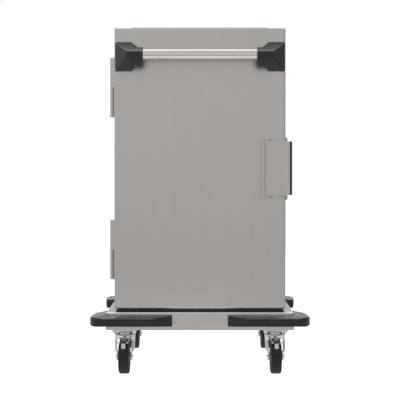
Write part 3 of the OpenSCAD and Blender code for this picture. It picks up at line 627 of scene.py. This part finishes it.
class CART_OT_finishes(bpy.types.Operator):
    """Builds the finishes and gives each sheet, casting and moulding its own"""

    bl_idname = "cart.finishes"
    bl_label = "Finishes"

    def execute(self, context):
        finish = context.scene.cart_finish
        make_effects()
        steel, rough = tuple(finish.steel), finish.steel_rough
        zinc, black = tuple(finish.zinc), tuple(finish.moulding)
        upright, across, lengthwise = (1.0, 1.0, 0.012), (0.012, 1.0, 1.0), (1.0, 0.012, 1.0)
        mild, even = (0.5, 0.5, 0.5), (1.0, 1.0, 1.0)
        brushed("Door sheet", steel, rough, upright, contrast=0.6, marks=0.02)
        brushed("Wall sheet", steel, rough + 0.02, upright, contrast=0.8, marks=0.04)
        brushed("Roof sheet", shaded(steel, 0.78), rough - 0.04, across)
        # The pan's bends get a painted highlight
        brushed("Platform sheet", steel, rough - 0.02, across, edge_wear_and_highlight=0.5, bend_highlight=0.9)
        brushed("Rack sheet", steel, rough + 0.03, lengthwise)
        brushed("Inner sheet", tuple(finish.steel_dark), rough + 0.12, across, marks=0.15)
        brushed("Hinge steel", shaded(steel, 1.08), rough - 0.02, upright, edge_wear_and_highlight=0.5)
        # The latch's edges get a painted highlight besides their wear
        brushed("Latch sheet", steel, rough - 0.02, upright, edge_wear_and_highlight=1.0, marks=0.04, edge_tint_and_highlight=1.35)
        brushed("Keeper steel", shaded(steel, 0.78), rough + 0.05, upright, edge_wear_and_highlight=0.6)
        brushed("Polished tube", tuple(finish.tube), 0.13, across, contrast=0.35, marks=0.04, depth=0.00001)
        brushed("Zinc pressing", zinc, 0.30, mild, contrast=0.6, edge_wear_and_highlight=0.5, marks=0.14)
        brushed("Brake plating", shaded(zinc, 0.78), 0.34, mild, contrast=0.6, marks=0.14)
        brushed("Zinc fastener", zinc, 0.26, even, contrast=0.5, edge_wear_and_highlight=0.6, marks=0.12)
        # The brackets' ridges get a painted highlight
        moulded("Bracket moulding", black, 0.44, edge_wear_and_highlight=0.8, lift=3.0, dust_and_lit_top=0.0, ridge_highlight=RIDGE_HIGHLIGHT_FACES)
        moulded("Grip moulding", black, 0.42, fineness=1200.0)
        moulded("Pedal moulding", shaded(black, 0.7), 0.5)
        # The bumpers' tops are painted lighter, as light from above would make them, besides a little dust
        moulded("Bumper rubber", tuple(finish.bumper), 0.30, fineness=700.0, depth=0.00004, dust_and_lit_top=0.62)
        moulded("Seal rubber", tuple(finish.seal), 0.62, fineness=1400.0, edge_wear_and_highlight=0.2, dust_and_lit_top=0.05)
        # The plinth board is near black; its darkness also stands in for the shade in the gap under the body
        moulded("Plinth board and gap shade", tuple(finish.seal), 0.55, fineness=500.0, edge_wear_and_highlight=0.2, dust_and_lit_top=0.05)
        moulded("Tyre rubber", tuple(finish.tyre), 0.66, fineness=1100.0, edge_wear_and_highlight=0.3, dust_and_lit_top=0.18)
        moulded("Wheel moulding", tuple(finish.wheel), 0.48, fineness=800.0, lift=1.5, dust_and_lit_top=0.2)

        dress("Door sheet", "door_skin")
        dress("Wall sheet", "side_panel_left", "side_panel_right", "back_panel", "door_liner")
        dress("Roof sheet", "roof_pan", "roof_crown", "ceiling_liner", "floor_panel")
        dress("Platform sheet", "platform_pan")
        dress("Rack sheet", "rack_posts", "rack_rails")
        dress("Inner sheet", "castor_beams", "deck_stiffeners", "door_stiffeners")
        dress("Hinge steel", "body_hinge_leaves", "door_hinge_leaves")
        dress("Latch sheet", "latch_base", "latch_lever")
        dress("Keeper steel", "latch_keeper", "latch_arm")
        dress("Polished tube", "push_bar")
        dress("Zinc pressing", "castor_plates", *("castor_fork_" + c for c in CORNERS))
        dress("Zinc fastener", "castor_bolts", "bumper_screws", "hinge_pins", "latch_pin")
        dress("Zinc fastener", *("castor_axle_" + c for c in CORNERS), *("brake_lever_" + c for c in BRAKED))
        dress("Bracket moulding", "handle_bracket_left", "handle_bracket_right")
        dress("Grip moulding", "latch_grip")
        dress("Pedal moulding", *("brake_pedal_" + c for c in BRAKED))
        bumpers = [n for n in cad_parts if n.startswith("bumper_") and n != "bumper_screws"]
        dress("Bumper rubber", *bumpers)
        dress("Seal rubber", "door_gasket", "door_sweep")
        dress("Plinth board and gap shade", "plinth_board")
        dress("Tyre rubber", *("wheel_tyre_" + c for c in CORNERS))
        dress("Wheel moulding", *("wheel_core_" + c for c in CORNERS))
        make_trees()
        return {"FINISHED"}


class CART_OT_hinge_screws(bpy.types.Operator):
    """Screws the hinge leaves and the keeper down"""

    bl_idname = "cart.hinge_screws"
    bl_label = "Hinge and keeper screws"

    def execute(self, context):
        sizes = {"Radius": context.scene.cart_details.screw_radius, "Rise": 0.0006}

        def screw(name, places, body):
            planted(name, "Cross screw", places, sizes, "Zinc fastener", body, False)

        sheet, proud, half_leaf = 0.003, 0.0003, 0.1135
        leaf_inset, keeper_inset = 0.014, 0.008
        low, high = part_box("body_hinge_leaves")
        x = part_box("side_panel_left")[0][0] - sheet - proud
        centres = (low[2] + half_leaf, high[2] - half_leaf)
        columns = {"chassis": high[1] - leaf_inset, "door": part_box("door_hinge_leaves")[0][1] + leaf_inset}
        for body, y in columns.items():
            heights = [z + offset for z in centres for offset in (-0.090, -0.032, 0.032, 0.090)]
            screw("hinge_screws_" + body, [((x, y, z), (-1, 0, 0)) for z in heights], body)
        low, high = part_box("latch_keeper")
        x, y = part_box("side_panel_right")[1][0] + sheet + proud, high[1] - keeper_inset
        heights = (low[2] + 0.04, low[2] + 0.085, high[2] - 0.085, high[2] - 0.04)
        screw("keeper_screws", [((x, y, z), (1, 0, 0)) for z in heights], "chassis")
        return {"FINISHED"}


class CART_OT_rivets(bpy.types.Operator):
    """Rivets the tray rails, the door's liner and the back"""

    bl_idname = "cart.rivets"
    bl_label = "Rivets"

    def execute(self, context):
        details = context.scene.cart_details
        pitch, sizes = details.rivet_pitch, {"Radius": details.rivet_radius, "Dome": 0.4}

        def rivet(name, places, body):
            planted(name, "Blind rivet", places, sizes, "Zinc fastener", body)

        sheet, flange, inset = 0.0015, 0.011, 0.04
        low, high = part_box("rack_rails")
        columns = (low[1] + inset, mid(low, high, 1), high[1] - inset)
        heights = [low[2] + sheet + level * RAIL_PITCH + flange for level in range(RAIL_LEVELS)]
        sides = ((sheet - high[0], 1), (high[0] - sheet, -1))
        places = [((x, y, z), (out, 0, 0)) for x, out in sides for z in heights for y in columns]
        rivet("rail_rivets", places, "chassis")

        inset = 0.0223
        low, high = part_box("door_liner")
        ends, rows = (low[0] + inset, high[0] - inset), (low[2] + inset, high[2] - inset)
        spots = [(x, z) for x in evenly(*ends, pitch) for z in rows]
        spots += [(x, z) for z in evenly(*rows, pitch)[1:-1] for x in ends]
        rivet("liner_rivets", [((x, high[1], z), (0, 1, 0)) for x, z in spots], "door")

        side_inset, row_inset = 0.03, 0.02
        low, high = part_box("back_panel")
        rows = (low[2] + row_inset, high[2] - row_inset)
        spots = [(x, z) for x in evenly(low[0] + side_inset, high[0] - side_inset, pitch) for z in rows]
        rivet("back_rivets", [((x, high[1], z), (0, 1, 0)) for x, z in spots], "chassis")
        return {"FINISHED"}


class CART_OT_castors(bpy.types.Operator):
    """Adds lip seals, hub seals and wheel ribs to the castors"""

    bl_idname = "cart.castors"
    bl_label = "Castor details"

    def execute(self, context):
        count = context.scene.cart_details.rib_count
        lip = circle(0.0008, 8, centre=(0.0280, 0.0010))
        cap = [(0.0062, -0.0004), (0.0112, -0.0004), (0.0124, 0.0001), (0.0124, -0.0030), (0.0062, -0.0030)]
        inner, rim = 0.0155, 0.0165
        for corner in CORNERS:
            low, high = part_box("wheel_tyre_" + corner)
            cx, cy, _ = swivel_of(corner)
            wy, wz = mid(low, high, 1), mid(low, high, 2)
            # Dark lip seal between the plate's cup and the fork's head
            bm = bmesh.new()
            turned(bm, lip, (cx, cy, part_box("castor_fork_" + corner)[1][2]), (0, 0, 1), 64)
            piece("race_seal_" + corner, bm, "Seal rubber", "chassis")
            # Seal rings on both faces of the hub
            bm = bmesh.new()
            hub_low, hub_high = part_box("wheel_core_" + corner)
            for side, x in ((-1, hub_low[0]), (1, hub_high[0])):
                turned(bm, cap, (x, wy, wz), (side, 0, 0), 40)
            piece("hub_seals_" + corner, bm, "Seal rubber", "wheel_" + corner)
            # Ribs between hub and rim
            outer = (high[2] - low[2]) / 2 - rim
            spokes = [Vector((0, y, z)) for y, z in circle(1.0, count)]
            places = [(Vector((cx, wy, wz)) + spoke * (inner + outer) / 2, spoke) for spoke in spokes]
            sizes = {"Reach": outer - inner, "Thickness": 0.0028, "Width": 0.026}
            planted(
                "wheel_ribs_" + corner, "Wheel rib", places, sizes,
                "Wheel moulding", "wheel_" + corner, False,
            )
        return {"FINISHED"}


class CART_OT_forks(bpy.types.Operator):
    """Replaces the plain castor forks by pressed ones with flanged legs, an apron lip and raised cheeks"""

    bl_idname = "cart.forks"
    bl_label = "Castor forks"

    def execute(self, context):
        # Sheet, outer half widths at the axle and at the head, the round foot, and the head's half depth
        sheet, foot, wide, end_r, half_depth = 0.0035, 0.0279, 0.0370, 0.013, 0.030
        # Heights of the legs' bend, of full depth in front and behind, and of the lips and the crown
        bend_low, bend_top, front_top, back_top = 0.0725, 0.0945, 0.125, 0.131
        lip_low, lip_top, crown_low, crown_lip, crown = 0.1303, 0.1366, 0.1410, 0.1412, 0.1460
        cheek, cheek_half, cheek_top = 0.0303, 0.015, 0.1583
        # Flanges at the axle and how much wider they are at the head, and the front's lean
        flange, front_grow, back_grow, lean = 0.0036, 0.0068, 0.0016, 0.004
        join, reach = AXLE_Z + end_r * 0.2, end_r * 0.98

        def ramp(z, low, high):
            return min(1.0, max(0.0, (z - low) / (high - low)))

        def outer(z):
            return foot + (wide - foot) * (0.5 - 0.5 * math.cos(math.pi * ramp(z, bend_low, bend_top)))

        def edges(z):
            """Front and back edge of a leg at a height."""
            if z < join:
                half = math.sqrt(max(0.0, end_r ** 2 - (z - AXLE_Z) ** 2))
                return -TRAIL - half, -TRAIL + half
            front, back = ramp(z, join, front_top), ramp(z, join, back_top)
            return (
                (-TRAIL - reach) * (1 - front) - half_depth * front,
                (-TRAIL + reach) * (1 - back) + half_depth * back,
            )

        levels = [AXLE_Z - end_r * math.cos(math.pi * i / 16) for i in range(1, 9)] + [join]
        levels += [bend_low + (bend_top - bend_low) * i / 8 for i in range(9)]
        levels += [0.110, front_top, back_top, crown]
        for corner in CORNERS:
            at = seat_of(corner)
            bm = bmesh.new()
            for side in (-1, 1):
                plate, fold, rim = [], [], []
                for z in levels:
                    front, back = edges(z)
                    o, grown = outer(z), ramp(z, bend_low, bend_top)
                    leant = lean * grown
                    plate.append(quad(at, (side * (o - sheet), side * o), (front + leant, back), z))
                    if z >= bend_low:
                        x = (side * (o - flange - front_grow * grown), side * (o + SKIN))
                        fold.append(quad(at, x, (front, front + sheet), z, slant=leant))
                        x = (side * (o - flange - back_grow * grown), side * (o + SKIN))
                        rim.append(quad(at, x, (back - sheet, back + SKIN), z))
                for rings in (plate, fold, rim):
                    lofted(bm, rings)
                x, y = (side * cheek, side * wide), (-cheek_half, cheek_half)
                block(bm, at, x, y, (crown - 0.001, cheek_top))
            for half, front, back, low, high in (
                (wide - 3 * GAP, -half_depth + GAP, half_depth - GAP, crown_low, crown - GAP),
                (wide - 0.010, -half_depth + GAP, -half_depth + sheet, lip_low, lip_top),
                (wide - 0.005, half_depth - sheet, half_depth - 2 * GAP, lip_low, crown_lip),
            ):
                block(bm, at, (-half, half), (front, back), (low, high))
            body = "fork_" + corner
            fork = piece("fork_pressing_" + corner, bm, "Zinc pressing", body, False)
            softened(fork, 0.0007)
            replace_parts(fork, "castor_fork_" + corner)
        return {"FINISHED"}


class CART_OT_pedals(bpy.types.Operator):
    """Replaces the brake levers and pedals by their pressed and moulded forms, with grip lines"""

    bl_idname = "cart.pedals"
    bl_label = "Brake pedals"

    def execute(self, context):
        # The flat bar's faces and half width, and the plate's front face, half width, depth and drop
        under, over, tongue = BRAKE_Z - 0.004, BRAKE_Z - 0.0015, 0.0075
        plate_y, plate, strap, hook, drop = -TRAIL - 0.059, 0.003, 0.020, 0.0065, 0.0245
        # Half widths of the tread's nose and tail, its ends and its cap's length and top
        nose, tail, back, front, cap, top = 0.012, 0.019, -TRAIL + 0.004, plate_y - 0.003, 0.016, 0.002
        slot = tongue + GAP
        for corner in BRAKED:
            at, body = seat_of(corner), "brake_" + corner
            # Steel lever: flat bar from the cross pin to a T-shaped plate in front of the tread
            bm = bmesh.new()
            block(bm, at, (-tongue, tongue), (plate_y + 0.001, BRAKE_Y), (under, over))
            half = [(strap, over), (strap, over - hook), (tongue, over - hook), (tongue, under - drop)]
            shape = [(-x, z) for x, z in half] + list(reversed(half))
            lofted(bm, [[at(x, y, z) for x, z in shape] for y in (plate_y, plate_y + plate)])
            for end, radius in ((tongue - GAP, 0.0058), (0.0360, 0.0030)):
                pin = circle(radius, 24)
                lofted(bm, [[at(x, BRAKE_Y + a, BRAKE_Z + b) for a, b in pin] for x in (-end, end)])
            arm = piece("brake_arm_" + corner, bm, "Brake plating", body, False)
            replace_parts(softened(arm, 0.0005), "brake_lever_" + corner)

            # Moulded tread: two cheeks beside the bar, a cap over them and a nose round the plate's middle
            bm = bmesh.new()
            for side in (-1, 1):
                plan = [(slot, back), (tail, back), (nose, front + cap), (slot, front + cap)]
                lofted(bm, [[at(side * x, y, z) for x, y in plan] for z in (under + GAP, over + 3 * GAP)])
                y = (plate_y + plate + GAP, front + cap + GAP)
                block(bm, at, (side * slot, side * nose), y, (under - 0.001, over + top))
            block(bm, at, (-nose, nose), (front, plate_y - GAP), (over - hook, over + top))
            block(bm, at, (-nose, nose), (plate_y - 0.0006, plate_y + 0.0060), (over + 0.0003, over + 0.0019))
            tread = piece("brake_tread_" + corner, bm, "Pedal moulding", body, False)
            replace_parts(softened(tread, 0.0006), "brake_pedal_" + corner)
            rows = [(side * 0.0112, -0.076 + 0.007 * i) for side in (-1, 1) for i in range(5)]
            places = [(at(x, y, over + 3 * GAP), (1, 0, 0)) for x, y in rows]
            planted(
                "pedal_grips_" + corner, "Grip bar", places, {"Length": 0.006, "Radius": 0.0007},
                "Pedal moulding", body,
            )
        return {"FINISHED"}


class CART_OT_handle(bpy.types.Operator):
    """Adds the sleeves where the push bar enters its brackets"""

    bl_idname = "cart.handle"
    bl_label = "Push bar sleeves"

    def execute(self, context):
        low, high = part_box("push_bar")
        y, z, r = mid(low, high, 1), mid(low, high, 2), (high[2] - low[2]) / 2
        profile = [(0.0002, -0.002), (0.0034, -0.002), (0.0030, 0.0010), (0.0012, 0.0016), (0.0002, 0.0012)]
        lip = [(r + out, along) for out, along in profile]
        bm = bmesh.new()
        for side, x in ((1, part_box("handle_bracket_left")[1][0]), (-1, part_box("handle_bracket_right")[0][0])):
            turned(bm, lip, (x, y, z), (side, 0, 0), 64)
        piece("bar_sleeves", bm, "Bracket moulding", "door")
        return {"FINISHED"}


class CART_OT_gasket(bpy.types.Operator):
    """Replaces the plain door seal by one with folded bellows"""

    bl_idname = "cart.gasket"
    bl_label = "Door gasket"

    def execute(self, context):
        folds, width = context.scene.cart_details.bellows, 0.017
        low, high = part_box("door_gasket")
        depth = high[1] - low[1]
        # One fold's side, as (share of its height, how far it is drawn in)
        fold = [(0.18, 0.0008), (0.5, 0.0030), (0.86, 0.0008), (1.0, 0.0)]
        side = [(drawn, depth * (i + rise) / folds) for i in range(folds) for rise, drawn in fold]
        outline = [(0.0, 0.0), (width, 0.0)] + [(width - drawn, y) for drawn, y in side]
        outline += [(width / 2, depth)] + list(reversed(side))
        left, right, foot, top = (low[0], 1), (high[0], -1), (low[2], 1), (high[2], -1)
        corners = ((left, foot), (right, foot), (right, top), (left, top))
        bm = bmesh.new()
        swept(bm, outline, [((x, low[1], z), (dx, 0, dz), (0, 1, 0)) for (x, dx), (z, dz) in corners])
        seal = piece("bellows_gasket", bm, "Seal rubber", "door", False)
        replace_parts(seal, "door_gasket")
        return {"FINISHED"}


class CART_OT_studio(bpy.types.Operator):
    """Sets the pale floor, the soft light and the level camera in front of the door"""

    bl_idname = "cart.studio"
    bl_label = "Studio and camera"

    def execute(self, context):
        studio = context.scene.cart_studio
        context.scene.view_settings.view_transform = "Standard"
        self.lay_floor(context, studio)
        self.light(context, studio)
        self.aim(context, studio)
        return {"FINISHED"}

    def lay_floor(self, context, studio):
        """A matt floor that glows near the cart and is clean white to the camera."""
        tree, bsdf, coords = blank("Pale floor")
        cloud = span(tree, noise(tree, coords, 3.0, 3.0), 0.3, 0.7)
        base = blend_colour(tree, cloud, (0.50, 0.50, 0.50), (0.54, 0.54, 0.54))
        tree.links.new(base, bsdf.inputs["Base Color"])
        bsdf.inputs["Roughness"].default_value = 0.9
        bsdf.inputs["Specular IOR Level"].default_value = 0.0
        bsdf.inputs["Emission Color"].default_value = (1.0, 1.0, 1.0, 1.0)
        seen = tree.nodes.new("ShaderNodeLightPath").outputs["Is Camera Ray"]
        reach = add(tree, "ShaderNodeVectorMath", {0: coords}, operation="LENGTH").outputs["Value"]
        near = span(tree, reach, 0.75, 1.7, studio.under_glow, studio.floor_glow)
        tree.links.new(blend_value(tree, seen, near, studio.white), bsdf.inputs["Emission Strength"])
        size = studio.floor_size / 2
        corners = [(-size, -size, 0), (size, -size, 0), (size, size, 0), (-size, size, 0)]
        mesh = bpy.data.meshes.new("floor")
        mesh.from_pydata(corners, [], [(0, 1, 2, 3)])
        mesh.materials.append(material("Pale floor"))
        floor = bpy.data.objects.new("floor", mesh)
        context.scene.collection.objects.link(floor)

    def light(self, context, studio):
        """Soft light with its own strength on each side, overhead and high up behind, and one lamp."""
        world = bpy.data.worlds.new("Soft studio")
        context.scene.world = world
        world.use_nodes = True
        tree = world.node_tree
        tree.nodes.clear()
        generated = tree.nodes.new("ShaderNodeTexCoord").outputs["Generated"]
        way = add(tree, "ShaderNodeSeparateXYZ", {0: generated}).outputs
        x, y, z = way["X"], way["Y"], way["Z"]
        beside = span(tree, calc(tree, "ABSOLUTE", x), 0.25, 0.7)
        ahead = span(tree, y, 0.0, 0.6, studio.front, studio.back)
        flank = span(tree, x, -0.3, 0.3, studio.left, studio.right)
        level = blend_value(tree, beside, ahead, flank)
        level = blend_value(tree, span(tree, z, 0.3, 0.62), level, studio.sky)
        high_behind = times(tree, span(tree, y, 0.0, 0.1), span(tree, z, 0.76, 0.86))
        level = blend_value(tree, high_behind, level, studio.bank)
        soft = add(tree, "ShaderNodeBackground", {"Color": (1.0, 0.985, 0.97, 1.0), "Strength": level})
        # The camera itself sees clean white behind the cart
        clean = add(tree, "ShaderNodeBackground", {"Color": (1.0, 1.0, 1.0, 1.0), "Strength": studio.white})
        seen = tree.nodes.new("ShaderNodeLightPath").outputs["Is Camera Ray"]
        mix = add(tree, "ShaderNodeMixShader", {0: seen, 1: soft.outputs[0], 2: clean.outputs[0]})
        out = tree.nodes.new("ShaderNodeOutputWorld")
        tree.links.new(mix.outputs[0], out.inputs["Surface"])

        place, target = Vector((-1.6, -2.4, 3.6)), Vector((0, 0, 0.8))
        light = bpy.data.lights.new("key", "AREA")
        light.shape = "SQUARE"
        light.size = 2.2
        light.energy = studio.lamp
        lamp = bpy.data.objects.new("key", light)
        lamp.location = place
        lamp.rotation_euler = (target - place).to_track_quat("-Z", "Y").to_euler()
        context.scene.collection.objects.link(lamp)

    def aim(self, context, studio):
        """A level camera square to the door."""
        lens = bpy.data.cameras.new("front")
        lens.lens = studio.focal
        lens.sensor_width = 36.0
        lens.sensor_fit = "HORIZONTAL"
        lens.shift_y = studio.shift
        camera = bpy.data.objects.new("front", lens)
        camera.location = (0.0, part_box("platform_pan")[0][1] - studio.camera_back, studio.camera_up)
        camera.rotation_euler = (math.pi / 2, 0.0, 0.0)
        context.scene.collection.objects.link(camera)
        context.scene.camera = camera


class CART_PT_panel(bpy.types.Panel):
    """Lists the cart's steps and values"""

    bl_idname = "CART_PT_panel"
    bl_label = "Tray cart"
    bl_space_type = "VIEW_3D"
    bl_region_type = "UI"
    bl_category = "Tray cart"

    def draw(self, context):
        layout = self.layout
        for step in STEPS:
            layout.operator(step.bl_idname)
        for title, group in (
            ("Finish", context.scene.cart_finish),
            ("Details", context.scene.cart_details),
            ("Studio", context.scene.cart_studio),
        ):
            box = layout.box()
            box.label(text=title)
            for key in group.__annotations__:
                box.prop(group, key)


STEPS = (
    CART_OT_finishes,
    CART_OT_hinge_screws,
    CART_OT_rivets,
    CART_OT_castors,
    CART_OT_forks,
    CART_OT_pedals,
    CART_OT_handle,
    CART_OT_gasket,
    CART_OT_studio,
)
GROUPS = (CartFinish, CartDetails, CartStudio)


def register():
    for cls in GROUPS + STEPS + (CART_PT_panel,):
        bpy.utils.register_class(cls)
    bpy.types.Scene.cart_finish = PointerProperty(type=CartFinish)
    bpy.types.Scene.cart_details = PointerProperty(type=CartDetails)
    bpy.types.Scene.cart_studio = PointerProperty(type=CartStudio)


def unregister():
    del bpy.types.Scene.cart_studio, bpy.types.Scene.cart_details, bpy.types.Scene.cart_finish
    for cls in reversed(GROUPS + STEPS + (CART_PT_panel,)):
        bpy.utils.unregister_class(cls)


def main():
    register()
    bpy.ops.cart.finishes()
    bpy.ops.cart.hinge_screws()
    bpy.ops.cart.rivets()
    bpy.ops.cart.castors()
    bpy.ops.cart.forks()
    bpy.ops.cart.pedals()
    bpy.ops.cart.handle()
    bpy.ops.cart.gasket()
    bpy.ops.cart.studio()


if __name__ == "__main__":
    main()
